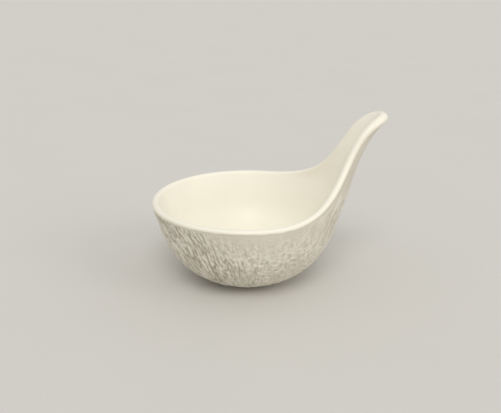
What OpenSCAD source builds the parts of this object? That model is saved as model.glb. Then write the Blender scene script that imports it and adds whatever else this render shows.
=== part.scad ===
// Caviar tasting spoon: a round ceramic bowl whose wall runs up on one side into a channelled, hooked handle.
// Lengths in mm, angles in degrees. Origin at the middle of the standing face, +Z up, +X towards the handle.

/* [Bowl] */
// Diameter of the outer wall at the lip line
bowl_d = 82; // [70:0.5:95]
// Height of the level lip line, where the outer wall ends and the rounded lip begins
lip_z = 34.5; // [28:0.5:40]
// Lean of the upper wall from the vertical
flare = 17.5; // [12:0.5:22]
// Where the base curve runs into the straight flare, as a share of the lip height
base_share = 0.66; // [0.5:0.01:0.7]
// Wall thickness at the rim, glaze included
wall = 2.8; // [2.2:0.1:3.6]
// Thickness of the floor over the foot recess, glaze included
floor_t = 3.2; // [2.4:0.1:5]
// Radius of the curve between floor and wall on the inside
inner_arc = 27; // [22:0.5:30]

/* [Foot ring] */
// Diameter of the ring where it meets the table
foot_d = 24; // [18:0.5:32]
// Height of the foot ring
foot_h = 1.6; // [1:0.1:3]
// Width of the flat face that stands on the table
foot_land = 3.4; // [2:0.1:6]
// Slope of the inner side of the ring, as a sideways step
foot_draft = 0.8; // [0.2:0.1:1.5]

/* [Handle] */
// Rise of the tip above the lip line
handle_rise = 35.3; // [24:0.1:48]
// Reach of the tip beyond the bowl wall
handle_reach = 16.4; // [12:0.1:26]
// How late the back bends into the hook: a higher power bends later
hook_power = 4.9; // [3:0.1:7]
// Height over which the wall's curve tightens to half, as a share of the rise
taper_share = 0.48; // [0.45:0.01:0.7]
// Radius that the wall's curve would reach far above the tip
tip_r = 2.5; // [2:0.1:9]
// Thickness of the beaded edges of the handle, glaze included
bead = 3.2; // [2.6:0.1:4]
// Thickness at the tip, where the two beads run together, glaze included
tip_bead = 4; // [3:0.1:6]
// Where the beads start to swell towards the tip, as a share of the rise
swell = 0.68; // [0.5:0.01:0.85]

/* [Lip curve] */
// Start of the rise of the lip, as a share of the bowl radius
rise_start = 0.21; // [0:0.01:0.3]
// Length of the level run-in of the rising lip, as a share of the bowl radius
run_in = 0.95; // [0.9:0.01:1.25]
// Length of the run-out at the tip, as a share of the handle rise
run_out = 0.61; // [0.55:0.01:0.85]
// Slope of the lip where it reaches the tip
tip_slope = 14; // [10:1:30]

/* [Glaze] */
// Thickness of the glaze coat
glaze = 0.35; // [0.2:0.05:0.6]

/* [Neck joint] */
// Place of the joint between bowl and handle along the lip curve
neck_at = 0.44; // [0.38:0.01:0.5]

/* [Hidden] */

bowl_r = bowl_d / 2;
lean = tan(flare);
taper_h = taper_share * handle_rise;
hook = handle_reach - lean * handle_rise;
bead_run = handle_rise / 3;

// Base curve of the outer wall: an arc from the standing ring that touches the flare at join_z
join_z = base_share * lip_z;
join_r = bowl_r - lean * (lip_z - join_z);
base_in = join_r - foot_d / 2;
base_arc = (pow(base_in, 2) + pow(join_z, 2)) / (2 * (base_in * cos(flare) - join_z * sin(flare)));
base_x = join_r - base_arc * cos(flare);
base_z = join_z + base_arc * sin(flare);
base_from = asin((base_z - foot_h) / base_arc);
function base_radius(z) = base_x + sqrt(pow(base_arc, 2) - pow(base_z - z, 2));

// Inside curve: a flat floor and an arc that touches the inner side of the flare
floor_z = foot_h + floor_t;
in_z = floor_z + inner_arc;
in_x = bowl_r + ((in_z - lip_z) * sin(flare) - wall - inner_arc) / cos(flare);
in_join = in_z - (inner_arc + wall) * sin(flare);

// Lip curve in the side view, from the start of the rise to the tip
lip_ctrl = [
    [rise_start * bowl_r, lip_z],
    [(rise_start + run_in) * bowl_r, lip_z],
    [bowl_r + handle_reach - run_out * handle_rise * cos(tip_slope),
     lip_z + handle_rise - run_out * handle_rise * sin(tip_slope)],
    [bowl_r + handle_reach, lip_z + handle_rise]
];
function lip_curve(t) =
    pow(1 - t, 3) * lip_ctrl[0] + 3 * t * pow(1 - t, 2) * lip_ctrl[1]
    + 3 * t * t * (1 - t) * lip_ctrl[2] + pow(t, 3) * lip_ctrl[3];

// Numbers of facets: handle columns each side, shoulder columns each side, level columns, lip steps
handle_cols = 12;
shoulder_cols = 7;
level_cols = 30;
lip_steps = 8;
base_rows = 7;
wall_rows = 6;
handle_rows = 11;

function unit(v) = v / norm(v);
function mirror_y(v) = [v[0], -v[1], v[2]];
function smooth(x) = let (c = min(max(x, 0), 1)) c * c * (3 - 2 * c);

// Outer wall: every level slice is a circle. Below the lip line the circles are centred on the bowl.
// Above it they shrink and lean outwards, so that the wall becomes a tapering horn.
function above(z) = max(z - lip_z, 0);
function slice_r(z) =
    let (d = above(z))
    z < lip_z ? bowl_r - lean * (lip_z - z)
              : tip_r + (bowl_r + lean * d - tip_r) / (1 + pow(d / taper_h, 2));
function slice_back(z) =
    let (d = above(z)) bowl_r + lean * d + hook * pow(d / handle_rise, hook_power);
function slice_c(z) = z < lip_z ? 0 : slice_back(z) - slice_r(z);
function slope_r(z) =
    let (d = above(z), q = 1 + pow(d / taper_h, 2))
    lean / q - (bowl_r + lean * d - tip_r) * 2 * d / pow(taper_h * q, 2);
function slope_c(z) =
    let (d = above(z))
    lean + hook * hook_power * pow(d / handle_rise, hook_power - 1) / handle_rise - slope_r(z);

function outer(a, z) = [slice_c(z) + slice_r(z) * cos(a), slice_r(z) * sin(a), z];
function normal(a, z) = unit([cos(a), sin(a), -(slope_c(z) * cos(a) + slope_r(z))]);
function thick(z) =
    wall + (bead - wall) * smooth(above(z) / bead_run)
    + (tip_bead - bead) * smooth((above(z) / handle_rise - swell) / (1 - swell));
// Point inside the wall: left is the thickness that remains between it and the inner face
function inside(a, z, left) = outer(a, z) - (thick(z) - left) * normal(a, z);

// Angle and height of the wall's end along the lip curve
function lip_at(t) =
    let (p = lip_curve(t), c = (p[0] - slice_c(p[1])) / slice_r(p[1]))
    [acos(min(max(c, -1), 1)), p[1]];
neck = lip_at(neck_at);

// Columns round the bowl: angle, top height, and place on the lip curve (below 0 on the level rim)
function shoulder_t(j) = neck_at * (1 - j / shoulder_cols);
rise_a = lip_at(0)[0];
ring = concat(
    [for (k = [-handle_cols : handle_cols]) [neck[0] * k / handle_cols, neck[1], neck_at]],
    [for (j = [1 : shoulder_cols]) concat(lip_at(shoulder_t(j)), shoulder_t(j))],
    [for (j = [1 : level_cols - 1]) [rise_a + (360 - 2 * rise_a) * j / level_cols, lip_z, -1]],
    [for (j = [shoulder_cols : -1 : 1])
        let (p = lip_at(shoulder_t(j))) [360 - p[0], p[1], shoulder_t(j)]]
);
cols = len(ring);
corner = 2 * handle_cols;

// Columns of the handle: each runs from the neck joint to its place on the lip curve
function handle_t(k) = 1 - (1 - neck_at) * pow(abs(k) / handle_cols, 1.6);
function handle_chart(k, w) =
    let (p = lip_at(handle_t(k)), to = [sign(k) * p[0], p[1]],
         from = [neck[0] * k / handle_cols, neck[1]])
    abs(k) == handle_cols ? from : from + (to - from) * w;

// Frame of the lip on one column: wall end, outward normal, and direction over the lip
function lip_dir(a, z, t) =
    let (d = 0.002, p = lip_at(min(t + d, 1)), q = lip_at(max(t - d, 0)),
         run = t < 0 ? [sin(a), -cos(a), 0]
             : t >= 1 ? [0, -1, 0] : outer(p[0], p[1]) - outer(q[0], q[1]))
    unit(cross(run, normal(a, z)));
function lip_frame(a, z, t) =
    t >= 0 && sin(a) < 0
        ? [for (v = lip_frame(-a, z, t)) mirror_y(v)]
        : [outer(a, z), normal(a, z), lip_dir(a, z, t)];
// Point on the rounded lip: step 0 is the outer wall's end, the last step is the inner face
function lip_pt(f, z, step, coat) =
    let (r = (thick(z) - glaze) / 2, a = 180 * step / lip_steps)
    f[0] - r * f[1] + (r + coat) * (cos(a) * f[1] + sin(a) * f[2]);

// One column of points on the outer wall, from the foot joint up
function outer_col(c) = concat(
    [for (j = [0 : base_rows - 1])
        let (s = base_from + (flare - base_from) * j / base_rows, r = base_x + base_arc * cos(s))
        [r * cos(c[0]), r * sin(c[0]), base_z - base_arc * sin(s)]],
    [for (j = [0 : wall_rows]) outer(c[0], join_z + (c[1] - join_z) * j / wall_rows)]
);
// One column of points on the inner face, with left of the wall between it and the glaze surface
function inner_col(c, left) = concat(
    [for (j = [0 : base_rows - 1])
        let (s = 90 + (flare - 90) * j / base_rows, r = in_x + (inner_arc + left) * cos(s))
        [r * cos(c[0]), r * sin(c[0]), in_z - (inner_arc + left) * sin(s)]],
    [for (j = [0 : wall_rows]) inside(c[0], in_join + (c[1] - in_join) * j / wall_rows, left)]
);
rows = base_rows + wall_rows + 1;

// Index tables and faces
function flip(fs) = [for (f = fs) [for (i = [len(f) - 1 : -1 : 0]) f[i]]];
function patch(t) = [
    for (i = [0 : len(t) - 2]) for (j = [0 : len(t[0]) - 2])
        for (f = [[t[i][j], t[i][j + 1], t[i + 1][j + 1]], [t[i][j], t[i + 1][j + 1], t[i + 1][j]]])
            if (f[0] != f[1] && f[1] != f[2] && f[2] != f[0]) f
];
function ring_table(from) = [for (i = [0 : cols]) [for (j = [0 : rows - 1]) from + (i % cols) * rows + j]];
function disc(from) = [for (i = [0 : cols - 1]) from + i * rows];
// Columns that carry the bowl's lip, from one end of the neck joint round to the other
rim = concat([for (i = [corner : cols - 1]) i], [0]);
function top(from, i) = from + i * rows + rows - 1;

// Round bowl with its raised shoulders, up to the neck joint
module bowl() {
    out = 0;
    inn = cols * rows;
    lips = 2 * cols * rows;
    n = lip_steps - 1;
    pts = concat(
        [for (c = ring) each outer_col(c)],
        [for (c = ring) each inner_col(c, glaze)],
        [for (i = rim) let (c = ring[i], f = lip_frame(c[0], c[1], c[2]))
            for (s = [1 : n]) lip_pt(f, c[1], s, 0)]
    );
    lip_table = [for (m = [0 : len(rim) - 1])
        concat(top(out, rim[m]), [for (s = [0 : n - 1]) lips + m * n + s], top(inn, rim[m]))];
    joint = [for (i = [0 : corner]) [top(out, i), top(inn, i)]];
    color("#d9d4c6")
        polyhedron(pts, concat(
            patch(ring_table(out)), flip(patch(ring_table(inn))), patch(lip_table), patch(joint),
            flip([lip_table[0]]), [lip_table[len(rim) - 1]],
            [disc(out)], flip([disc(inn)])
        ), convexity = 6);
}

// Points of one handle skin: left below 0 means the outer wall
function handle_skin(left) = [
    for (k = [-handle_cols : handle_cols]) for (j = [0 : handle_rows])
        let (p = handle_chart(k, j / handle_rows))
        left < 0 ? outer(p[0], p[1]) : inside(p[0], p[1], left)
];
function handle_index(from, k, j) =
    from + (k + handle_cols) * (handle_rows + 1) + (abs(k) == handle_cols ? 0 : j);
function handle_table(from) =
    [for (k = [-handle_cols : handle_cols]) [for (j = [0 : handle_rows]) handle_index(from, k, j)]];
function handle_frame(k) =
    let (p = handle_chart(k, 1)) lip_frame(p[0], p[1], handle_t(k));

// Channelled handle that leans out and hooks over at the tip
module handle() {
    size = (2 * handle_cols + 1) * (handle_rows + 1);
    n = lip_steps - 1;
    pts = concat(
        handle_skin(-1),
        handle_skin(glaze),
        [for (k = [-handle_cols : handle_cols]) let (f = handle_frame(k), z = handle_chart(k, 1)[1])
            for (s = [1 : n]) lip_pt(f, z, s, 0)]
    );
    lip_table = [for (k = [-handle_cols : handle_cols])
        concat(handle_index(0, k, handle_rows),
               [for (s = [0 : n - 1]) 2 * size + (k + handle_cols) * n + s],
               handle_index(size, k, handle_rows))];
    joint = [for (k = [-handle_cols : handle_cols]) [handle_index(0, k, 0), handle_index(size, k, 0)]];
    color("#ddd8ca")
        polyhedron(pts, concat(
            patch(handle_table(0)), flip(patch(handle_table(size))), patch(lip_table), flip(patch(joint)),
            flip([lip_table[0]]), [lip_table[2 * handle_cols]]
        ), convexity = 6);
}

// Low ring that the bowl stands on, its outer side running on from the bowl's base curve
module foot_ring() {
    steps = 6;
    color("#cfc9ba")
        rotate_extrude()
            polygon(concat(
                [[base_radius(0) - foot_land - foot_draft, foot_h], [base_radius(0) - foot_land, 0]],
                [for (j = [0 : steps]) [base_radius(foot_h * j / steps), foot_h * j / steps]]
            ));
}

// Thin glaze over the inside, the lip and the channel of the handle, ending on the outer side of the lip
module glaze_coat() {
    bowl_n = cols * rows;
    hand_n = (2 * handle_cols + 1) * (handle_rows + 1);
    face = 0;
    back = bowl_n + hand_n;
    lips = 2 * back;
    stops = concat([for (i = [corner + 1 : cols - 1]) let (c = ring[i]) [lip_frame(c[0], c[1], c[2]), c[1]]],
                   [for (k = [-handle_cols : handle_cols]) [handle_frame(k), handle_chart(k, 1)[1]]]);
    n = lip_steps;
    pts = concat(
        [for (c = ring) each inner_col(c, 0)], handle_skin(0),
        [for (c = ring) each inner_col(c, glaze)], handle_skin(glaze),
        [for (s = stops) for (j = [1 : n - 1]) each [lip_pt(s[0], s[1], j, glaze), lip_pt(s[0], s[1], j, 0)]]
    );
    // Handle points on the neck joint are the bowl's own
    function grown(from, k, j) =
        abs(k) == handle_cols || j == 0 ? top(from, k + handle_cols) : handle_index(from + bowl_n, k, j);
    function grown_table(from) =
        [for (k = [-handle_cols : handle_cols]) [for (j = [0 : handle_rows]) grown(from, k, j)]];
    function ends(from) = concat([for (i = [corner + 1 : cols - 1]) top(from, i)],
                                 [for (k = [-handle_cols : handle_cols]) grown(from, k, handle_rows)]);
    function lip_rows(from, side) =
        [for (m = [0 : len(stops)]) let (i = m % len(stops))
            concat([for (j = [1 : n - 1]) lips + 2 * (i * (n - 1) + j - 1) + side], ends(from)[i])];
    over = lip_rows(face, 0);
    under = lip_rows(back, 1);
    edge = [for (m = [0 : len(over) - 1]) [under[m][0], over[m][0]]];
    color("#f4eedd")
        polyhedron(pts, concat(
            flip(patch(ring_table(face))), flip(patch(grown_table(face))), patch(over),
            patch(ring_table(back)), patch(grown_table(back)), flip(patch(under)),
            patch(edge), flip([disc(face)]), [disc(back)]
        ), convexity = 6);
}

bowl();
handle();
foot_ring();
glaze_coat();
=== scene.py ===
"""Caviar tasting spoon in glazed porcelain.

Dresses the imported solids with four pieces: the bowl and the handle in rough biscuit porcelain, the ground
foot ring, and the smooth glaze that covers the inside, the lip and the channel of the handle.
"""

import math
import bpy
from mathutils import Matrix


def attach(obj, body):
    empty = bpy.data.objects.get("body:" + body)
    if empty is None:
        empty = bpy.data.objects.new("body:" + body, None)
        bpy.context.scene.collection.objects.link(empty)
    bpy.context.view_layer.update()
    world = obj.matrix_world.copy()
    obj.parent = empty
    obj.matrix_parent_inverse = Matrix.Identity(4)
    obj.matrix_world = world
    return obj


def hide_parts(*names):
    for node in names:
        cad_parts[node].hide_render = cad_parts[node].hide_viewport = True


bl_info = {
    "name": "Caviar Spoon",
    "version": (1, 0, 0),
    "blender": (4, 5, 0),
    "location": "View3D > Sidebar > Spoon",
    "description": "Builds a porcelain tasting spoon with a rough outside and a smooth glaze",
    "category": "Add Mesh",
}

import bmesh
import bpy
import numpy as np
from bpy.props import FloatProperty, FloatVectorProperty, PointerProperty
from bpy.types import Operator, Panel, PropertyGroup

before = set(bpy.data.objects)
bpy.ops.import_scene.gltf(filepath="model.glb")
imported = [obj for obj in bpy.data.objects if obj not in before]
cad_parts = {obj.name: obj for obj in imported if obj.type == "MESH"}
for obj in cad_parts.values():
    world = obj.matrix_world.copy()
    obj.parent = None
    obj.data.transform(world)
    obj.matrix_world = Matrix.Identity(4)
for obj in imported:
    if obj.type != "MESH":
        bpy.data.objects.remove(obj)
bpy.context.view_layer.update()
MM = 0.001


# Property helpers

def linear(code):
    """Linear colour with alpha for an sRGB hex code."""
    parts = [int(code[i:i + 2], 16) / 255 for i in (1, 3, 5)]
    return [p / 12.92 if p <= 0.04045 else ((p + 0.055) / 1.055) ** 2.4 for p in parts] + [1.0]


def metres(name, text, default):
    """A length in metres."""
    return FloatProperty(name=name, description=text, default=default, unit="LENGTH", precision=5)


def share(name, text, default):
    """A plain number or a share of another size."""
    return FloatProperty(name=name, description=text, default=default)


def degrees(name, text, default):
    """An angle, written in degrees."""
    return FloatProperty(name=name, description=text, default=math.radians(default), subtype="ANGLE")


def colour(name, text, code):
    """A colour, written as an sRGB hex code."""
    return FloatVectorProperty(
        name=name, description=text, default=linear(code), size=4, min=0, max=1, subtype="COLOR")


class SpoonSizes(PropertyGroup):
    """Sizes of the spoon's solids."""
    bowl_d: metres("Bowl diameter", "Outer wall across the lip line", 0.082)
    lip_z: metres("Lip height", "Height of the level lip line", 0.0345)
    flare: degrees("Flare", "Lean of the upper wall from the vertical", 17.5)
    base_share: share("Base share", "Where the base curve ends, as a share of the lip height", 0.66)
    wall: metres("Wall", "Wall thickness at the rim, glaze included", 0.0028)
    floor_t: metres("Floor", "Thickness of the floor, glaze included", 0.0032)
    inner_arc: metres("Inner arc", "Radius between floor and wall on the inside", 0.027)
    foot_h: metres("Foot height", "Height of the foot ring", 0.0016)
    foot_d: metres("Foot diameter", "Diameter of the ring where it meets the table", 0.024)
    foot_land: metres("Foot land", "Width of the standing face", 0.0034)
    foot_draft: metres("Foot draft", "Sideways step of the ring's inner side", 0.0008)
    handle_rise: metres("Handle rise", "Rise of the tip above the lip line", 0.0353)
    handle_reach: metres("Handle reach", "Reach of the tip beyond the bowl wall", 0.0164)
    hook_power: share("Hook power", "How late the back bends into the hook", 4.9)
    taper_share: share("Taper", "Rise over which the wall's curve tightens to half", 0.48)
    tip_r: metres("Tip radius", "Radius that the wall's curve tends to far above the tip", 0.0025)
    bead: metres("Bead", "Thickness of the handle's edges, glaze included", 0.0032)
    tip_bead: metres("Tip bead", "Thickness at the tip, where the beads run together", 0.004)
    swell: share("Swell", "Where the beads start to swell, as a share of the rise", 0.68)
    rise_start: share("Rise start", "Start of the rising lip, as a share of the bowl radius", 0.21)
    run_in: share("Run-in", "Level run-in of the rising lip, as a share of the bowl radius", 0.95)
    run_out: share("Run-out", "Run-out at the tip, as a share of the handle rise", 0.61)
    tip_slope: degrees("Tip slope", "Slope of the lip where it reaches the tip", 14)
    glaze: metres("Glaze", "Thickness of the glaze coat", 0.00035)
    neck_at: share("Neck", "Place of the neck joint along the lip curve", 0.44)


class SpoonRelief(PropertyGroup):
    """Sizes of the moulded relief on the outside."""
    depth: metres("Depth", "Unit of height; the highest crests stand 0.7 of it over the wall", 0.00066)
    pitch: metres("Pitch", "Spacing of the upright streaks", 0.001)
    streak: metres("Streak", "Length of a streak along the wall", 0.0065)
    knot: metres("Knot", "Spacing of the rounded knots", 0.0013)
    band: metres("Plain band", "Width of the smooth band below the lip", 0.0024)
    tuck: metres("Tuck", "Depth of the hollow under the lip", 0.00045)
    fade: metres("Fade", "Height above the lip line over which the relief dies out on the handle", 0.018)
    lead: degrees("Lead", "Angle round the bowl at which the streaks are strongest", 200)
    slant: degrees("Slant", "Lean of the streaks from the upright where they are strongest", 13)


class SpoonFinish(PropertyGroup):
    """Colours of the finishes."""
    biscuit: colour("Biscuit", "Fired porcelain without glaze", "#E5DFD0")
    # Painted shade: a darker biscuit laid into the grooves of the relief and the hollow under the lip
    painted_groove_shade: colour("Grooves", "Biscuit in the bottom of the relief", "#B7AE9C")
    glaze: colour("Glaze", "Ivory glaze on the wall", "#F2EDDE")
    pooled: colour("Pooled glaze", "Glaze where it has run together on the floor", "#F4EFDE")
    thin: colour("Thin glaze", "Glaze run thin at its edge, where the biscuit shows through", "#EBE3D0")
    foot: colour("Foot", "Ground porcelain of the standing face", "#DED8C6")
    floor: colour("Studio floor", "Plain pale floor", "#CFCCC5")


class SpoonStudio(PropertyGroup):
    """Camera and light."""
    eye: FloatVectorProperty(
        name="Camera", description="Place of the camera", default=(0.0012, -0.26318, 0.12567),
        size=3, subtype="TRANSLATION", precision=5)
    tilt: degrees("Tilt", "Turn of the camera up from straight down", 70.34)
    lens: FloatProperty(name="Lens", description="Focal length on a 36 mm sensor", default=45.99)
    spread: degrees("Spread", "Width of each soft lamp as the spoon sees it", 30)
    key: FloatProperty(name="Key light", description="Strength of the lamp above the front", default=1.1)
    key_drop: degrees("Key drop", "Lean of the key lamp from straight above", 40)
    side: FloatProperty(
        name="Side light", description="Strength of the low lamp on the right", default=0.58)
    side_drop: degrees("Side drop", "Lean of the side lamp from straight above", 65)
    side_turn: degrees("Side turn", "Turn of the side lamp from the front to the right", 60)
    fill: FloatProperty(name="Fill light", description="Strength of the even light all round", default=0.67)


# Form of the wall

# Points that stand for the lip where its length is measured, and for the trim curve where it is looked up
LIP_POINTS, TRIM_POINTS = 2000, 400
# Length of the rising lip for one unit of the level arc below it, near enough to count its columns
RISE_STRETCH = 1.1
# Power that draws the rows of bowl and handle together at the neck joint
CROWD = 1.5


def smooth(x):
    """Smooth step from 0 to 1 as x goes from 0 to 1."""
    x = np.clip(x, 0, 1)
    return x * x * (3 - 2 * x)


def unit(v):
    """Vectors scaled to length 1."""
    return v / np.linalg.norm(v, axis=-1, keepdims=True)


class WallForm:
    """The spoon's wall as a surface over angle and height.

    Every level slice of the outer face is a circle. Its radius follows a base arc, then a straight flare up
    to the lip line. Above that it shrinks as one over one plus height squared, while its back leans out and
    hooks over by a power of the height, so the wall grows into a tapering horn. A curve drawn in the side
    view trims the horn, and the lip is a half round over the trimmed edge.
    """

    def __init__(self, s):
        self.s = s
        self.r = s.bowl_d / 2
        self.lean = math.tan(s.flare)
        self.taper = s.taper_share * s.handle_rise
        self.hook = s.handle_reach - self.lean * s.handle_rise
        self.join = s.base_share * s.lip_z
        join_r = self.r - self.lean * (s.lip_z - self.join)
        base = join_r - s.foot_d / 2
        pull = base * math.cos(s.flare) - self.join * math.sin(s.flare)
        self.arc = (base ** 2 + self.join ** 2) / (2 * pull)
        self.arc_x = join_r - self.arc * math.cos(s.flare)
        self.arc_z = self.join + self.arc * math.sin(s.flare)
        self.in_z = s.foot_h + s.floor_t + s.inner_arc
        sunk = (self.in_z - s.lip_z) * math.sin(s.flare)
        self.in_x = self.r + (sunk - s.wall - s.inner_arc) / math.cos(s.flare)
        self.in_join = self.in_z - (s.inner_arc + s.wall) * math.sin(s.flare)
        end = (self.r + s.handle_reach, s.lip_z + s.handle_rise)
        out = s.run_out * s.handle_rise
        self.ctrl = np.array([
            (s.rise_start * self.r, s.lip_z),
            ((s.rise_start + s.run_in) * self.r, s.lip_z),
            (end[0] - out * math.cos(s.tip_slope), end[1] - out * math.sin(s.tip_slope)),
            end])

    def slices(self, z):
        """Radius and centre of the level circle at each height, and how both change with height."""
        s = self.s
        d = np.maximum(z - s.lip_z, 0)
        q = 1 + (d / self.taper) ** 2
        wide = self.r + self.lean * d - s.tip_r
        root = np.sqrt(np.maximum(self.arc ** 2 - (self.arc_z - z) ** 2, MM ** 2))
        low, mid = z < self.join, z < s.lip_z
        flared = self.r + self.lean * (z - s.lip_z)
        r = np.where(low, self.arc_x + root, np.where(mid, flared, s.tip_r + wide / q))
        slope = self.lean / q - wide * 2 * d / (self.taper * q) ** 2
        slope = np.where(low, (self.arc_z - z) / root, slope)
        bend = (d / s.handle_rise) ** (s.hook_power - 1)
        back = self.r + self.lean * d + self.hook * bend * d / s.handle_rise
        shift = self.lean + self.hook * s.hook_power * bend / s.handle_rise - slope
        return r, np.where(mid, 0, back - r), slope, np.where(mid, 0, shift)

    def outer(self, a, z):
        """Points of the outer face."""
        r, c, _, _ = self.slices(z)
        return np.stack([c + r * np.cos(a), r * np.sin(a), z + 0 * a], -1)

    def normal(self, a, z):
        """Outward directions of the outer face."""
        _, _, slope, shift = self.slices(z)
        return unit(np.stack([np.cos(a), np.sin(a), -(shift * np.cos(a) + slope)], -1))

    def thick(self, z):
        """Wall thickness, which grows by two smooth steps.

        The first reaches the handle's bead a third of the way up, and the second the tip's bead at the end.
        """
        s = self.s
        rise = (z - s.lip_z) / s.handle_rise
        tip = smooth((rise - s.swell) / (1 - s.swell))
        return s.wall + (s.bead - s.wall) * smooth(3 * rise) + (s.tip_bead - s.bead) * tip

    def inside(self, a, z, left):
        """Points in the wall with the thickness left between them and the inner face."""
        return self.outer(a, z) - (self.thick(z) - left)[..., None] * self.normal(a, z)

    def lip_curve(self, t):
        """Trim curve in the side view: a cubic Bezier curve from the start of the rise to the tip."""
        t = np.asarray(t)[..., None]
        weights = np.concatenate([(1 - t) ** 3, 3 * t * (1 - t) ** 2, 3 * t * t * (1 - t), t ** 3], -1)
        return weights @ self.ctrl

    def lip_at(self, t):
        """Angle and height where the outer face meets the trim curve."""
        p = self.lip_curve(t)
        r, c, _, _ = self.slices(p[..., 1])
        return np.arccos(np.clip((p[..., 0] - c) / r, -1, 1)), p[..., 1]

    def lip_even(self, start, stop, count):
        """Places on the trim curve at equal lengths along the lip."""
        t = np.linspace(start, stop, LIP_POINTS)
        step = np.linalg.norm(np.diff(self.outer(*self.lip_at(t)), axis=0), axis=-1)
        run = np.concatenate([[0], np.cumsum(step)])
        return np.interp(np.linspace(0, run[-1], count), run, t)

    def climb(self, z):
        """Length along the wall from the table up to each height."""
        low = np.arcsin(np.clip((self.arc_z - np.minimum(z, self.join)) / self.arc, -1, 1))
        start = math.asin(min(self.arc_z / self.arc, 1))
        return self.arc * (start - low) + np.maximum(z - self.join, 0) / math.cos(self.s.flare)

    def below_lip(self, p):
        """Distance of each point below the lip, square to the trim curve in the side view."""
        t = np.linspace(0, 1, TRIM_POINTS)
        x, z = self.lip_curve(t).T
        slope = np.gradient(z, x)
        drop = np.interp(p[..., 0], x, z) - p[..., 2]
        return drop / np.sqrt(1 + np.interp(p[..., 0], x, slope) ** 2)


class Columns:
    """Columns of points round the spoon, counter-clockwise from the right end of the neck joint.

    The bowl's wall ends at the neck joint in the first columns and at the lip in the others. The rim is the
    whole lip, which runs over the tip of the handle in its first columns.
    """

    def __init__(self, form, step):
        s = form.s
        neck_a, neck_z = (float(v) for v in form.lip_at(s.neck_at))
        rise_a = float(form.lip_at(0.0)[0])
        across = float(form.slices(np.array(neck_z))[0]) * neck_a
        half = round(across / step)
        self.neck = 2 * half + 1
        self.across = np.linspace(-1, 1, self.neck)
        tip = form.lip_even(1.0, s.neck_at, half + 1)
        tip = np.concatenate([tip[:0:-1], tip])
        tip_a, tip_z = form.lip_at(tip)
        side_count = round(RISE_STRETCH * (rise_a - neck_a) * form.r / step)
        side_a, side_z = form.lip_at(form.lip_even(s.neck_at, 0.0, side_count)[1:])
        level_count = round(2 * (math.pi - rise_a) * form.r / step)
        level = np.linspace(rise_a, 2 * math.pi - rise_a, level_count)[1:-1]
        rest_a = np.concatenate([side_a, level, 2 * math.pi - side_a[::-1]])
        rest_z = np.concatenate([side_z, s.lip_z + 0 * level, side_z[::-1]])
        self.ring_a = np.concatenate([neck_a * self.across, rest_a])
        self.ring_z = np.concatenate([neck_z + 0 * self.across, rest_z])
        self.rim_a = np.concatenate([np.sign(self.across) * tip_a, rest_a])
        self.rim_z = np.concatenate([tip_z, rest_z])
        self.end = form.outer(self.rim_a, self.rim_z)
        self.out = form.normal(self.rim_a, self.rim_z)
        ahead = np.roll(self.end, -1, 0) - self.end
        behind = self.end - np.roll(self.end, 1, 0)
        long = np.linalg.norm(ahead, axis=-1, keepdims=True)
        short = np.linalg.norm(behind, axis=-1, keepdims=True)
        self.over = unit(np.cross(self.out, ahead * short / long + behind * long / short))

    def lip(self, form, turn, coat):
        """Half round over the wall's end, with a coat on it.

        Turn 0 is at the outer face and half a turn at the inner one.
        """
        r = ((form.thick(self.rim_z) - form.s.glaze) / 2)[:, None, None]
        out, over = self.out[:, None, :], self.over[:, None, :]
        turn = turn[None, :, None]
        swing = np.cos(turn) * out + np.sin(turn) * over
        return self.end[:, None, :] - r * out + (r + np.reshape(coat, (1, -1, 1))) * swing

    def handle_chart(self, rows):
        """Angle and height of the handle's points: straight lines in the chart from neck joint to lip.

        Rows start close together at the joint, so that the bowl and the handle shade alike there.
        """
        w = np.linspace(0, 1, rows)[None, :] ** CROWD
        a = self.ring_a[:self.neck, None] * (1 - w) + self.rim_a[:self.neck, None] * w
        z = self.ring_z[:self.neck, None] * (1 - w) + self.rim_z[:self.neck, None] * w
        return a, z


def ring_closed(grid):
    """The grid with its first column repeated at the end."""
    return np.concatenate([grid, grid[:1]], 0)


def inner_face(form, cols, left, arc_rows, wall_rows):
    """Inside of the bowl: a flat floor, an arc up to the flare, and the wall up to the column's top.

    Rows go from the middle of the floor outwards and up.
    """
    s = form.s
    a, top = cols.ring_a[:, None], cols.ring_z[:, None]
    turn = np.linspace(math.pi / 2, s.flare, arc_rows)[None, :]
    arc = s.inner_arc + left
    flat = form.in_x * np.array([[0, 0.4, 0.75]])
    r = np.concatenate([flat, form.in_x + arc * np.cos(turn)], 1)
    z = form.in_z - np.concatenate([arc + 0 * flat, arc * np.sin(turn)], 1)
    low = np.stack([r * np.cos(a), r * np.sin(a), z + 0 * a], -1)
    w = np.linspace(0, 1, wall_rows)[None, 1:]
    return np.concatenate([low, form.inside(a + 0 * w, form.in_join + (top - form.in_join) * w, left)], 1)


# Relief of the outer face

# Seeds of the noise; the streaks take the number after theirs as well
SWAY_SEED, SLIDE_SEED, KNOT_SEED, GRAIN_SEED, PATCH_SEED, STREAK_SEED = 3, 4, 7, 8, 9, 15
# Drum that the streaks are laid on, as a share of the bowl's radius
DRUM = 0.8
# Where the relief starts to grow below the lip, and how far down it goes on growing
GROW_FROM, GROW_OVER = 2 * MM, 14 * MM
# Size of a patch of streaks or knots, and how far the patches differ
PATCH, PATCH_STRENGTH = 8 * MM, 0.4
# Pull of the strongest side, its turn towards the base in radians, and the pull under the handle
LEAD_PULL, LEAD_TURN, HANDLE_PULL = 0.7, 0.28, 0.55
# Size of the slow drift, and how far it moves a streak sideways and along
BEND, SWAY, SLIDE = 12 * MM, 0.6 * MM, 2 * MM
# Weights of the two layers of streaks, the steepness of their sides, and how far they are sunk
STREAK_COARSE, STREAK_FINE, STREAK_STEEP, STREAK_SUNK = 1.5, 0.9, 2.2, 0.15
# Height of the streaks where they are strongest, what is lost under the handle, and height among knots
STREAK_HIGH, STREAK_LOSS, STREAK_LOW = 1.45, 0.6, 0.3
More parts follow.
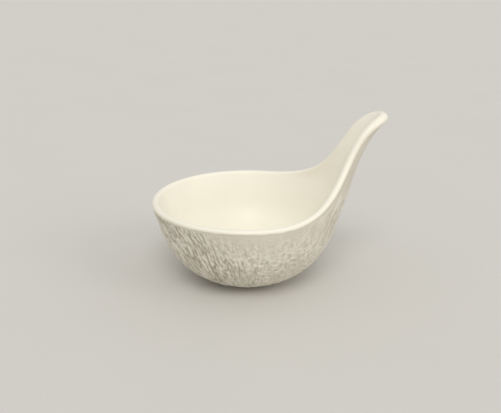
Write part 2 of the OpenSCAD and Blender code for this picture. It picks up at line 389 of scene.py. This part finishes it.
# Height of the knots, what is lost among streaks, and the weight of the finer grain on them
KNOT_HIGH, KNOT_LOSS, GRAIN = 0.5, 0.6, 0.6
# Share of the low streaks and of the knots that is left close below the lip
STREAK_LEFT, KNOT_LEFT = 0.3, 0.2
# Start of the relief below the lip, and how much narrower the plain band is above streaks
EDGE_FROM, BAND_LOSS = 0.2 * MM, 0.6
# Height over which the relief fades at the foot
FOOT_FADE = 1.2 * MM
# Start of the fade towards the handle below the lip line, and the share of the relief that it takes
FADE_FROM, FADE_SHARE = 4 * MM, 0.9
# Start of the tuck below the lip line, the height over which it grows, and its two widths under the lip
TUCK_FROM, TUCK_OVER, TUCK_IN, TUCK_OUT = 2 * MM, 12 * MM, MM, 5 * MM
# Rise where the tuck starts to run out, the rise that this takes, and the share of the tuck that it takes
TUCK_TOP, TUCK_RUN, TUCK_SHARE = 0.35, 0.4, 0.75
# How much painted shade, in the darker groove colour, the hollow under the lip takes on
TUCK_PAINTED_SHADE = 0.18


def lattice(seed):
    """Seeded shuffle of 256 numbers, laid out twice, and 256 random directions."""
    rng = np.random.default_rng(seed)
    order = rng.permutation(256)
    return np.concatenate([order, order]), unit(rng.normal(size=(256, 3)))


def corner_numbers(order, cell):
    """A repeatable random number from 0 to 255 for each lattice cell."""
    x, y, z = np.moveaxis(cell & 255, -1, 0)
    return order[order[order[x] + y] + z]


def drift(p, seed):
    """Gradient noise: random slopes on a unit lattice, blended by a quintic curve, about -1 to 1."""
    order, slopes = lattice(seed)
    cell = np.floor(p).astype(int)
    f = p - cell
    blend = f ** 3 * (f * (6 * f - 15) + 10)
    total = 0
    for corner in np.ndindex(2, 2, 2):
        step = np.array(corner)
        weight = np.prod(np.where(step, blend, 1 - blend), -1)
        total = total + weight * np.sum(slopes[corner_numbers(order, cell + step)] * (f - step), -1)
    return 1.5 * total


def crests(p, size, seed):
    """Low crests between tight grooves.

    Noise in the given size and in half of it is folded at zero and added up. Half of the hyperbolic tangent
    of that, less one, levels it off, and it is sunk so that it lies about evenly round the plain wall.
    """
    fold = STREAK_COARSE * np.abs(drift(p / size, seed))
    fold = fold + STREAK_FINE * np.abs(drift(p / (0.5 * size), seed + 1))
    return 0.5 * np.tanh(STREAK_STEEP * fold - 1) - STREAK_SUNK


def relief(form, rough, a, z):
    """Height of the bark-like relief over the plain wall.

    Streaks are folded noise, stretched along the wall and laid on a drum, so that they meet round the bowl
    and draw together towards the base. Knots are plain noise of one size every way. A slow drift bends the
    streaks. They are strongest on the side that the settings name, where they slant and start right under
    the lip, and come back softer under the handle. Between these the knots take over, and both grow from a
    nearly plain band below the lip. The relief dies out at the foot and up the handle.
    """
    drum = DRUM * form.r
    run = form.climb(z)
    place = form.outer(a, z)
    down = form.below_lip(place)
    low = smooth((down - GROW_FROM) / GROW_OVER)
    under = np.maximum(np.cos(a), 0)
    side = LEAD_PULL * np.cos(2 * (a - rough.lead - LEAD_TURN * low)) + HANDLE_PULL * under
    lead = smooth(0.5 + PATCH_STRENGTH * drift(place / PATCH, PATCH_SEED) + side)
    slow = place / BEND
    lean = math.tan(rough.slant) * np.cos(a - rough.lead)
    turn = a + (lean * run + SWAY * drift(slow, SWAY_SEED)) / drum
    along = run + SLIDE * drift(slow, SLIDE_SEED)
    laid = np.stack([drum * np.cos(turn), drum * np.sin(turn), along], -1)
    streaks = crests(laid, np.array([rough.pitch, rough.pitch, rough.streak]), STREAK_SEED)
    knots = drift(place / rough.knot, KNOT_SEED) + GRAIN * drift(place / (0.5 * rough.knot), GRAIN_SEED)
    high = (STREAK_HIGH - STREAK_LOSS * under) * lead
    height = (high + STREAK_LOW * (1 - lead) * (STREAK_LEFT + (1 - STREAK_LEFT) * low)) * streaks
    height = height + KNOT_HIGH * (1 - KNOT_LOSS * lead) * (KNOT_LEFT + (1 - KNOT_LEFT) * low) * knots
    edge = smooth((down - EDGE_FROM) / (rough.band * (1 - BAND_LOSS * lead)))
    fade = edge * smooth((z - form.s.foot_h) / FOOT_FADE)
    fade = fade * (1 - FADE_SHARE * smooth((z - form.s.lip_z + FADE_FROM) / rough.fade))
    return rough.depth * height * fade


def rough_face(form, rough, a, z):
    """Outer face with its relief, and the relief as a share of its depth, 0.5 on the plain wall.

    A shallow hollow runs along under the lip, where the face is cut back from the glaze: it deepens by a
    smooth step over the first millimetre and fades by another over the next five. It starts at the level
    rim, is deepest a third of the way up the handle and runs out towards the tip. The share is lowered in
    the hollow and sets the painted groove colour in the material: painted shade under the lip and in the
    grooves.
    """
    plain = form.outer(a, z)
    height = relief(form, rough, a, z)
    down = form.below_lip(plain)
    rise = (z - form.s.lip_z) / form.s.handle_rise
    hollow = smooth((z - form.s.lip_z + TUCK_FROM) / TUCK_OVER)
    hollow = hollow * (1 - TUCK_SHARE * smooth((rise - TUCK_TOP) / TUCK_RUN))
    hollow = hollow * smooth(down / TUCK_IN) * (1 - smooth((down - TUCK_IN) / TUCK_OUT))
    points = plain + (height - rough.tuck * hollow)[..., None] * form.normal(a, z)
    # Painted shade: the share drops in the hollow under the lip, so that the material paints it darker
    return points, np.clip(0.5 + height / rough.depth - TUCK_PAINTED_SHADE * hollow, 0, 1)


# Meshes

# Points closer than this are one point
MERGE = 0.002 * MM


class Shell:
    """A closed mesh put together from grids of points whose edges meet."""

    def __init__(self, name):
        self.name = name
        self.points, self.faces, self.values, self.creases = [], [], [], []
        self.count = 0

    def add(self, grid, flip=False, values=None, value=0.5, crease=None):
        """Adds a grid, which faces outwards when its columns go left to right and its rows go up."""
        cols, rows = grid.shape[:2]
        index = self.count + np.arange(cols * rows).reshape(cols, rows)
        quads = np.stack([index[:-1, :-1], index[1:, :-1], index[1:, 1:], index[:-1, 1:]], -1)
        quads = quads.reshape(-1, 4)
        marks = np.zeros((cols, rows), bool)
        if crease is not None:
            marks[crease] = True
        self.points.append(grid.reshape(-1, 3))
        self.faces.append(quads[:, ::-1] if flip else quads)
        self.values.append(np.full(cols * rows, value) if values is None else values.ravel())
        self.creases.append(marks.ravel())
        self.count += cols * rows

    def build(self, layer, material, slot, *nodes):
        """Merges the grids' shared points, marks the creases, tests the mesh and adds it to the frame."""
        mesh = bpy.data.meshes.new(self.name)
        mesh.from_pydata(np.concatenate(self.points).tolist(), [], np.concatenate(self.faces).tolist())
        mesh.attributes.new(layer, "FLOAT", "POINT").data.foreach_set("value", np.concatenate(self.values))
        mesh.attributes.new("crease", "FLOAT", "POINT").data.foreach_set(
            "value", np.concatenate(self.creases).astype(float))
        bm = bmesh.new()
        bm.from_mesh(mesh)
        bmesh.ops.remove_doubles(bm, verts=bm.verts, dist=MERGE)
        bm.to_mesh(mesh)
        bm.free()
        marks = np.empty(len(mesh.vertices), np.float32)
        mesh.attributes["crease"].data.foreach_get("value", marks)
        mesh.attributes.remove(mesh.attributes["crease"])
        ends = np.empty(2 * len(mesh.edges), np.int32)
        mesh.edges.foreach_get("vertices", ends)
        sharp = (marks[ends.reshape(-1, 2)] > 0.5).all(1)
        mesh.attributes.new("sharp_edge", "BOOLEAN", "EDGE").data.foreach_set("value", sharp)
        mesh.shade_smooth()
        check_closed(mesh)
        mesh.materials.append(material)
        piece = bpy.data.objects.new(self.name, mesh)
        bpy.context.scene.collection.objects.link(piece)
        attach(piece, "root")
        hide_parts(*nodes)


def check_closed(mesh):
    """Raises an error unless the mesh is closed and faces outwards.

    Every edge has to join two faces that run along it in opposite directions, and the volume, summed over
    the triangles as corner times the cross product of the other two, has to be positive.
    """
    start = np.empty(len(mesh.loops), np.int64)
    edge = np.empty(len(mesh.loops), np.int64)
    mesh.loops.foreach_get("vertex_index", start)
    mesh.loops.foreach_get("edge_index", edge)
    ends = np.empty(2 * len(mesh.edges), np.int64)
    mesh.edges.foreach_get("vertices", ends)
    forward = np.where(ends.reshape(-1, 2)[edge, 0] == start, 1, -1)
    if (np.bincount(edge) != 2).any() or np.bincount(edge, forward).any():
        raise RuntimeError(f"{mesh.name} isn't one closed skin")
    mesh.calc_loop_triangles()
    corners = np.empty(3 * len(mesh.loop_triangles), np.int64)
    mesh.loop_triangles.foreach_get("vertices", corners)
    places = np.empty(3 * len(mesh.vertices), np.float32)
    mesh.vertices.foreach_get("co", places)
    a, b, c = np.moveaxis(places.reshape(-1, 3)[corners.reshape(-1, 3)].astype(float), 1, 0)
    if np.sum(a * np.cross(b, c)) <= 0:
        raise RuntimeError(f"{mesh.name} is inside out")


# Materials

def add(tree, kind, inputs=None, **settings):
    """Adds a node with its settings; an input is a value or another node's output."""
    node = tree.nodes.new(kind)
    for name, value in settings.items():
        setattr(node, name, value)
    for name, value in (inputs or {}).items():
        if isinstance(value, bpy.types.NodeSocket):
            tree.links.new(value, node.inputs[name])
        else:
            node.inputs[name].default_value = value
    return node


def new_material(name):
    """A material with an empty tree."""
    material = bpy.data.materials.new(name)
    material.use_nodes = True
    material.node_tree.nodes.clear()
    return material, material.node_tree


# Sockets of the colour Mix node
MIX, MIX_A, MIX_B, MIX_OUT = 0, 6, 7, 2
# Range that most of a noise keeps to
NOISE_RANGE = {"From Min": 0.3, "From Max": 0.7}
# Radians that the Wave node turns through in one unit at scale 1
WAVE_TURN = 20


def biscuit_material(name, finish):
    """Biscuit porcelain, pressed in a mould and fired without glaze.

    A matt, faintly sandy skin: the grooves and the hollow under the lip are painted greyer than the crests
    as painted shade, the fired colour drifts over a centimetre or so, and a fine grit breaks up the sheen.
    """
    material, tree = new_material(name)
    place = add(tree, "ShaderNodeTexCoord").outputs["Object"]
    height = add(tree, "ShaderNodeAttribute", attribute_name="relief").outputs["Fac"]
    # Painted shade: the relief attribute, low in the grooves and in the hollow under the lip, mixes in the
    # darker colour
    groove_shade_mask = add(tree, "ShaderNodeMapRange", {"Value": height, "From Min": 0.0, "From Max": 0.6})
    cloud = add(tree, "ShaderNodeTexNoise", {"Vector": place, "Scale": 1 / (11 * MM), "Detail": 3.0})
    drifted = add(tree, "ShaderNodeMapRange", {
        "Value": cloud.outputs["Fac"], **NOISE_RANGE, "To Min": 0.94, "To Max": 1.0})
    # Grit is about 0.1 mm on the real piece, drawn at 0.6 mm so that it shows
    grit = add(tree, "ShaderNodeTexNoise", {"Vector": place, "Scale": 1 / (0.6 * MM), "Detail": 2.0})
    sand = add(tree, "ShaderNodeMapRange", {
        "Value": grit.outputs["Fac"], **NOISE_RANGE, "To Min": 0.97, "To Max": 1.0})
    body = add(tree, "ShaderNodeMix", {
        MIX: groove_shade_mask.outputs[0], MIX_A: list(finish.painted_groove_shade), MIX_B: list(finish.biscuit)}, data_type="RGBA")
    tone = add(tree, "ShaderNodeMath", {0: drifted.outputs[0], 1: sand.outputs[0]}, operation="MULTIPLY")
    skin = add(tree, "ShaderNodeVectorMath", {
        0: body.outputs[MIX_OUT], "Scale": tone.outputs[0]}, operation="SCALE")
    matt = add(tree, "ShaderNodeMapRange", {
        "Value": grit.outputs["Fac"], **NOISE_RANGE, "To Min": 0.55, "To Max": 0.7})
    bump = add(tree, "ShaderNodeBump", {
        "Strength": 0.35, "Distance": 0.06 * MM, "Height": grit.outputs["Fac"]})
    shader = add(tree, "ShaderNodeBsdfPrincipled", {
        "Base Color": skin.outputs[0], "Roughness": matt.outputs[0],
        "IOR": 1.5, "Normal": bump.outputs[0]})
    add(tree, "ShaderNodeOutputMaterial", {"Surface": shader.outputs[0]})
    return material


def glaze_material(name, finish):
    """Ivory porcelain glaze, fired to a satin skin.

    Smooth with a soft sheen: it runs thin over the lip, so that its edge fades into the biscuit, pools a
    little warmer on the floor, and has a very slight orange-peel swell.
    """
    material, tree = new_material(name)
    place = add(tree, "ShaderNodeTexCoord").outputs["Object"]
    thin = add(tree, "ShaderNodeAttribute", attribute_name="thin").outputs["Fac"]
    up = add(tree, "ShaderNodeSeparateXYZ", {"Vector": place}).outputs["Z"]
    pooled = add(tree, "ShaderNodeMapRange", {"Value": up, "From Min": 20 * MM, "From Max": 5 * MM})
    cloud = add(tree, "ShaderNodeTexNoise", {"Vector": place, "Scale": 1 / (16 * MM), "Detail": 2.0})
    tone = add(tree, "ShaderNodeMapRange", {
        "Value": cloud.outputs["Fac"], **NOISE_RANGE, "To Min": 0.975, "To Max": 1.0})
    wall = add(tree, "ShaderNodeMix", {
        MIX: pooled.outputs[0], MIX_A: list(finish.glaze), MIX_B: list(finish.pooled)}, data_type="RGBA")
    coat = add(tree, "ShaderNodeMix", {
        MIX: thin, MIX_A: wall.outputs[MIX_OUT], MIX_B: list(finish.thin)}, data_type="RGBA")
    skin = add(tree, "ShaderNodeVectorMath", {
        0: coat.outputs[MIX_OUT], "Scale": tone.outputs[0]}, operation="SCALE")
    swell = add(tree, "ShaderNodeTexNoise", {"Vector": place, "Scale": 1 / (2.4 * MM), "Detail": 1.0})
    satin = add(tree, "ShaderNodeMapRange", {
        "Value": cloud.outputs["Fac"], **NOISE_RANGE, "To Min": 0.4, "To Max": 0.48})
    bump = add(tree, "ShaderNodeBump", {
        "Strength": 0.1, "Distance": 0.05 * MM, "Height": swell.outputs["Fac"]})
    shader = add(tree, "ShaderNodeBsdfPrincipled", {
        "Base Color": skin.outputs[0], "Roughness": satin.outputs[0],
        "IOR": 1.52, "Normal": bump.outputs[0]})
    add(tree, "ShaderNodeOutputMaterial", {"Surface": shader.outputs[0]})
    return material


def foot_material(name, finish):
    """Biscuit porcelain, ground flat on the standing face.

    Chalky and a little darker than the wall, with fine ring-shaped grinding marks and grey rub where it
    stands on the table.
    """
    material, tree = new_material(name)
    place = add(tree, "ShaderNodeTexCoord").outputs["Object"]
    # Grinding marks are spaced about 0.2 mm, drawn at 0.5 mm so that they show
    scale = math.tau / (WAVE_TURN * 0.5 * MM)
    marks = add(tree, "ShaderNodeTexWave", {
        "Vector": place, "Scale": scale, "Distortion": 1.5, "Detail": 2.0},
        wave_type="RINGS", rings_direction="Z")
    cloud = add(tree, "ShaderNodeTexNoise", {"Vector": place, "Scale": 1 / (4 * MM), "Detail": 4.0})
    rub = add(tree, "ShaderNodeMapRange", {
        "Value": cloud.outputs["Fac"], "From Min": 0.35, "From Max": 0.65, "To Min": 0.86, "To Max": 1.0})
    line = add(tree, "ShaderNodeMapRange", {"Value": marks.outputs["Fac"], "To Min": 0.95, "To Max": 1.0})
    tone = add(tree, "ShaderNodeMath", {0: rub.outputs[0], 1: line.outputs[0]}, operation="MULTIPLY")
    skin = add(tree, "ShaderNodeVectorMath", {
        0: list(finish.foot)[:3], "Scale": tone.outputs[0]}, operation="SCALE")
    bump = add(tree, "ShaderNodeBump", {
        "Strength": 0.3, "Distance": 0.03 * MM, "Height": marks.outputs["Fac"]})
    shader = add(tree, "ShaderNodeBsdfPrincipled", {
        "Base Color": skin.outputs[0], "Roughness": 0.75, "IOR": 1.5, "Normal": bump.outputs[0]})
    add(tree, "ShaderNodeOutputMaterial", {"Surface": shader.outputs[0]})
    return material


def floor_material(name, finish):
    """Plain matt studio floor, with a very faint drift of tone in patches of about 80 mm."""
    material, tree = new_material(name)
    place = add(tree, "ShaderNodeTexCoord").outputs["Object"]
    cloud = add(tree, "ShaderNodeTexNoise", {"Vector": place, "Scale": 12.0, "Detail": 2.0})
    tone = add(tree, "ShaderNodeMapRange", {"Value": cloud.outputs["Fac"], "To Min": 0.98, "To Max": 1.02})
    skin = add(tree, "ShaderNodeVectorMath", {
        0: list(finish.floor)[:3], "Scale": tone.outputs[0]}, operation="SCALE")
    shader = add(tree, "ShaderNodeBsdfPrincipled", {"Base Color": skin.outputs[0], "Roughness": 0.9})
    add(tree, "ShaderNodeOutputMaterial", {"Surface": shader.outputs[0]})
    return material


# Pieces

# Spacing of the columns of the biscuit and of the glaze
WALL_STEP, GLAZE_STEP = 0.36 * MM, 0.7 * MM
# Rows up the outside: base curve, wall and handle
BASE_ROWS, WALL_ROWS, HANDLE_ROWS = 62, 44, 80
# Rows of the arc, and of the wall, that the glaze hides
HIDDEN_ROWS = 9
# Rows of the foot ring: rounded edge, side and top
EDGE_ROWS, SIDE_ROWS, TOP_ROWS = 5, 9, 5
# Rows of the glaze: arc, wall, handle and lip
COAT_ARC_ROWS, COAT_WALL_ROWS, COAT_HANDLE_ROWS, COAT_LIP_ROWS = 30, 24, 60, 19
# Turns of the biscuit's half round lip, and the turn at which the glaze starts on it
LIP_TURN = np.linspace(0, math.pi, 9)
COAT_START = math.radians(14)
# Radius that grinding leaves on the inner edge of the foot ring
GROUND_EDGE = 0.25 * MM
# The material that bowl and handle share
BISCUIT = "biscuit_porcelain_pressed"


def named_material(make, name, finish):
    """The material of that name, made on first use."""
    return bpy.data.materials.get(name) or make(name, finish)


def lip_cap(lip, column):
    """Half disc that closes the lip at one column: the arc of the lip and the chord under it."""
    arc = lip[column]
    chord = arc[0] + (arc[-1] - arc[0]) * ((1 - np.cos(LIP_TURN)) / 2)[:, None]
    return np.stack([arc, chord])


def neck_face(outer_edge, inner_edge):
    """Face of the neck joint, from the outer edge to the inner one."""
    w = ((1 - np.cos(LIP_TURN)) / 2)[None, :, None]
    return outer_edge[:, None] * (1 - w) + inner_edge[:, None] * w


def coat_edge(turn):
    """Thickness of the glaze round the lip, as a share of the coat, and how far it shows as thin glaze.

    The thickness starts at 0.35, grows by a smooth step of 0.4 over 40 degrees, and by one of 0.25 over the
    inner half of the lip. Its look fills out by 0.8 over 60 degrees and by 0.2 over 80 from the lip's top.
    """
    grown, inner = turn - turn[0], turn - math.pi / 2
    thickness = 0.35 + 0.4 * smooth(grown / math.radians(40)) + 0.25 * smooth(inner / (math.pi / 2))
    full = 0.8 * smooth(grown / math.radians(60)) + 0.2 * smooth(inner / math.radians(80))
    return thickness, 1 - full


class SPOON_OT_bowl(Operator):
    """Build the round bowl with its rough outside and raised shoulders"""
    bl_idname = "caviar_spoon.bowl"
    bl_label = "Bowl"

    def execute(self, context):
        scene = context.scene
        s = scene.spoon_sizes
        form = WallForm(s)
        cols = Columns(form, WALL_STEP)
        from_turn = math.asin((form.arc_z - s.foot_h) / form.arc)
        base_z = form.arc_z - form.arc * np.sin(np.linspace(from_turn, s.flare, BASE_ROWS))[None, :]
        w = 1 - np.linspace(1, 0, WALL_ROWS)[None, 1:] ** CROWD
        top = cols.ring_z[:, None]
        z = np.concatenate([base_z + 0 * top, form.join + (top - form.join) * w], 1)
        a = cols.ring_a[:, None] + 0 * z
        # The second result also carries the painted shade of the grooves and of the hollow under the lip to
        # the material
        face, height = rough_face(form, scene.spoon_relief, a, z)
        inner = inner_face(form, cols, s.glaze, HIDDEN_ROWS, HIDDEN_ROWS)
        lip = cols.lip(form, LIP_TURN, 0)
        rim = np.r_[cols.neck - 1:len(cols.rim_a), 0]
        neck = slice(0, cols.neck)
        under = face[:, :1] * np.array([1, 0.97, 0.6, 0.3, 0])[None, :, None]
        under[..., 2] = s.foot_h
        shell = Shell("bowl_wall")
        crease = np.zeros(z.shape, bool)
        crease[:, 0] = True
        crease[neck, -1] = True
        shell.add(ring_closed(face), values=ring_closed(height), crease=ring_closed(crease))
        shell.add(ring_closed(under), flip=True)
        shell.add(ring_closed(inner), flip=True)
        shell.add(lip[rim], crease=np.s_[[0, -1], :])
        shell.add(neck_face(face[neck, -1], inner[neck, -1]))
        shell.add(lip_cap(lip, cols.neck - 1), flip=True)
        shell.add(lip_cap(lip, 0))
        material = named_material(biscuit_material, BISCUIT, scene.spoon_finish)
        shell.build("relief", material, "biscuit", "bowl")
        return {"FINISHED"}


class SPOON_OT_handle(Operator):
    """Build the channelled handle that leans out of the bowl and hooks over at the tip"""
    bl_idname = "caviar_spoon.handle"
    bl_label = "Handle"

    def execute(self, context):
        scene = context.scene
        s = scene.spoon_sizes
        form = WallForm(s)
        cols = Columns(form, WALL_STEP)
        a, z = cols.handle_chart(HANDLE_ROWS)
        # The second result also carries the painted shade of the grooves and of the hollow under the lip to
        # the material
        face, height = rough_face(form, scene.spoon_relief, a, z)
        inner = form.inside(a, z, s.glaze)
        lip = cols.lip(form, LIP_TURN, 0)[:cols.neck]
        shell = Shell("handle_wall")
        shell.add(face, values=height, crease=np.s_[:, 0])
        shell.add(inner, flip=True)
        shell.add(lip, crease=np.s_[[0, -1], :])
        shell.add(neck_face(face[:, 0], inner[:, 0]), flip=True)
        shell.add(lip_cap(lip, cols.neck - 1))
        shell.add(lip_cap(lip, 0), flip=True)
        material = named_material(biscuit_material, BISCUIT, scene.spoon_finish)
        shell.build("relief", material, "biscuit", "handle")
        return {"FINISHED"}


class SPOON_OT_foot_ring(Operator):
    """Build the low ring that the bowl stands on, with its inner edge ground round"""
    bl_idname = "caviar_spoon.foot_ring"
    bl_label = "Foot ring"

    def execute(self, context):
        scene = context.scene
        s = scene.spoon_sizes
        form = WallForm(s)
        cols = Columns(form, WALL_STEP)
        edge = s.foot_d / 2 - s.foot_land
        turn = np.linspace(0, math.pi / 2, EDGE_ROWS)
        rise = np.linspace(0, s.foot_h, SIDE_ROWS)
        top = np.linspace(1, 0, TOP_ROWS)[1:-1]
        arc_r = form.slices(rise)[0]
        inner_top = edge - s.foot_draft
        slant = s.foot_draft / s.foot_h
        r = np.concatenate([
            [inner_top, edge - slant * GROUND_EDGE],
            edge + GROUND_EDGE * (1 - np.cos(turn))[1:],
            arc_r,
            inner_top + (arc_r[-1] - inner_top) * top,
            [inner_top]])
        z = np.concatenate([
            [s.foot_h, GROUND_EDGE],
            GROUND_EDGE * (1 - np.sin(turn))[1:],
            rise,
            s.foot_h + 0 * top,
            [s.foot_h]])
        a = cols.ring_a[:, None]
        ring = np.stack([r * np.cos(a), r * np.sin(a), z + 0 * a], -1)
        crease = np.zeros(ring.shape[:2], bool)
        crease[:, [0, len(turn) + 1, len(turn) + len(rise), -1]] = True
        shell = Shell("foot_ring_ground")
        shell.add(ring_closed(ring), crease=ring_closed(crease))
        material = named_material(foot_material, "biscuit_porcelain_ground", scene.spoon_finish)
        shell.build("relief", material, "foot", "foot_ring")
        return {"FINISHED"}


class SPOON_OT_glaze_coat(Operator):
    """Build the thin glaze over the inside, the lip and the channel of the handle"""
    bl_idname = "caviar_spoon.glaze_coat"
    bl_label = "Glaze coat"

    def execute(self, context):
        scene = context.scene
        s = scene.spoon_sizes
        form = WallForm(s)
        cols = Columns(form, GLAZE_STEP)
        turn = np.linspace(COAT_START, math.pi, COAT_LIP_ROWS)
        thickness, thin = coat_edge(turn)
        over = cols.lip(form, turn, s.glaze * thickness)
        under = cols.lip(form, turn, 0)
        thin = np.repeat(thin[None, :], len(over), 0)
        a, z = cols.handle_chart(COAT_HANDLE_ROWS)
        shown = inner_face(form, cols, 0, COAT_ARC_ROWS, COAT_WALL_ROWS)
        bonded = inner_face(form, cols, s.glaze, COAT_ARC_ROWS, COAT_WALL_ROWS)
        shell = Shell("glaze_skin")
        shell.add(ring_closed(shown), flip=True, value=0)
        shell.add(form.inside(a, z, 0), flip=True, value=0)
        shell.add(ring_closed(over), values=ring_closed(thin))
        shell.add(ring_closed(bonded), value=0)
        shell.add(form.inside(a, z, s.glaze), value=0)
        shell.add(ring_closed(under), flip=True, value=0)
        shell.add(ring_closed(np.stack([under[:, 0], over[:, 0]], 1)), value=0, crease=np.s_[:, :])
        material = named_material(glaze_material, "ivory_glaze_fired", scene.spoon_finish)
        shell.build("thin", material, "glaze", "glaze_coat")
        return {"FINISHED"}


class SPOON_OT_stage(Operator):
    """Set up the plain floor, the soft studio light and the camera"""
    bl_idname = "caviar_spoon.stage"
    bl_label = "Stage"

    def execute(self, context):
        scene = context.scene
        studio, finish = scene.spoon_studio, scene.spoon_finish
        half = 6.0
        mesh = bpy.data.meshes.new("studio_floor")
        corners = [(-half, -half, 0), (half, -half, 0), (half, half, 0), (-half, half, 0)]
        mesh.from_pydata(corners, [], [(0, 1, 2, 3)])
        mesh.materials.append(named_material(floor_material, "studio_floor_matt", finish))
        floor = bpy.data.objects.new("studio_floor", mesh)
        scene.collection.objects.link(floor)

        lamps = {"key_lamp": (studio.key, studio.key_drop, 0),
                 "side_lamp": (studio.side, studio.side_drop, studio.side_turn)}
        for name, (strength, drop, turn) in lamps.items():
            light = bpy.data.lights.new(name, "SUN")
            light.angle = studio.spread
            light.energy = strength
            lamp = bpy.data.objects.new(name, light)
            lamp.rotation_euler = (drop, 0, turn)
            scene.collection.objects.link(lamp)

        world = bpy.data.worlds.new("studio_light")
        world.use_nodes = True
        tree = world.node_tree
        tree.nodes.clear()
        path = add(tree, "ShaderNodeLightPath")
        seen = path.outputs["Is Camera Ray"]
        for ray in ("Is Glossy Ray", "Is Transmission Ray"):
            either = add(tree, "ShaderNodeMath", {0: seen, 1: path.outputs[ray]}, operation="MAXIMUM")
            seen = either.outputs[0]
        even = add(tree, "ShaderNodeBackground", {"Color": (1, 1, 1, 1), "Strength": studio.fill})
        pale = add(tree, "ShaderNodeBackground", {"Color": list(finish.floor), "Strength": 1.0})
        sky = add(tree, "ShaderNodeMixShader", {0: seen, 1: even.outputs[0], 2: pale.outputs[0]})
        add(tree, "ShaderNodeOutputWorld", {"Surface": sky.outputs[0]})
        scene.world = world

        lens = bpy.data.cameras.new("camera")
        lens.lens = studio.lens
        lens.sensor_width = 36
        lens.sensor_fit = "HORIZONTAL"
        lens.clip_start = 0.01
        camera = bpy.data.objects.new("camera", lens)
        camera.location = studio.eye
        camera.rotation_euler = (studio.tilt, 0, 0)
        scene.collection.objects.link(camera)
        scene.camera = camera
        scene.view_settings.view_transform = "Standard"
        return {"FINISHED"}


class SPOON_PT_panel(Panel):
    """Sizes, finishes and build steps of the spoon"""
    bl_idname = "SPOON_PT_panel"
    bl_label = "Caviar Spoon"
    bl_space_type = "VIEW_3D"
    bl_region_type = "UI"
    bl_category = "Spoon"

    def draw(self, context):
        scene = context.scene
        for group in (scene.spoon_sizes, scene.spoon_relief, scene.spoon_finish, scene.spoon_studio):
            box = self.layout.box()
            for name in group.__annotations__:
                box.prop(group, name)
        for step in STEPS:
            self.layout.operator(step.bl_idname)


GROUPS = {"spoon_sizes": SpoonSizes, "spoon_relief": SpoonRelief,
          "spoon_finish": SpoonFinish, "spoon_studio": SpoonStudio}
STEPS = (SPOON_OT_bowl, SPOON_OT_handle, SPOON_OT_foot_ring, SPOON_OT_glaze_coat, SPOON_OT_stage)


def register():
    """Registers the classes and hangs the settings on the scene."""
    for cls in (*GROUPS.values(), *STEPS, SPOON_PT_panel):
        bpy.utils.register_class(cls)
    for name, cls in GROUPS.items():
        setattr(bpy.types.Scene, name, PointerProperty(type=cls))


def unregister():
    """Takes the settings and the classes away again."""
    for name in GROUPS:
        delattr(bpy.types.Scene, name)
    for cls in (SPOON_PT_panel, *STEPS, *GROUPS.values()):
        bpy.utils.unregister_class(cls)


def main():
    """Builds every piece in order."""
    register()
    bpy.ops.caviar_spoon.bowl()
    bpy.ops.caviar_spoon.handle()
    bpy.ops.caviar_spoon.foot_ring()
    bpy.ops.caviar_spoon.glaze_coat()
    bpy.ops.caviar_spoon.stage()


if __name__ == "__main__":
    main()
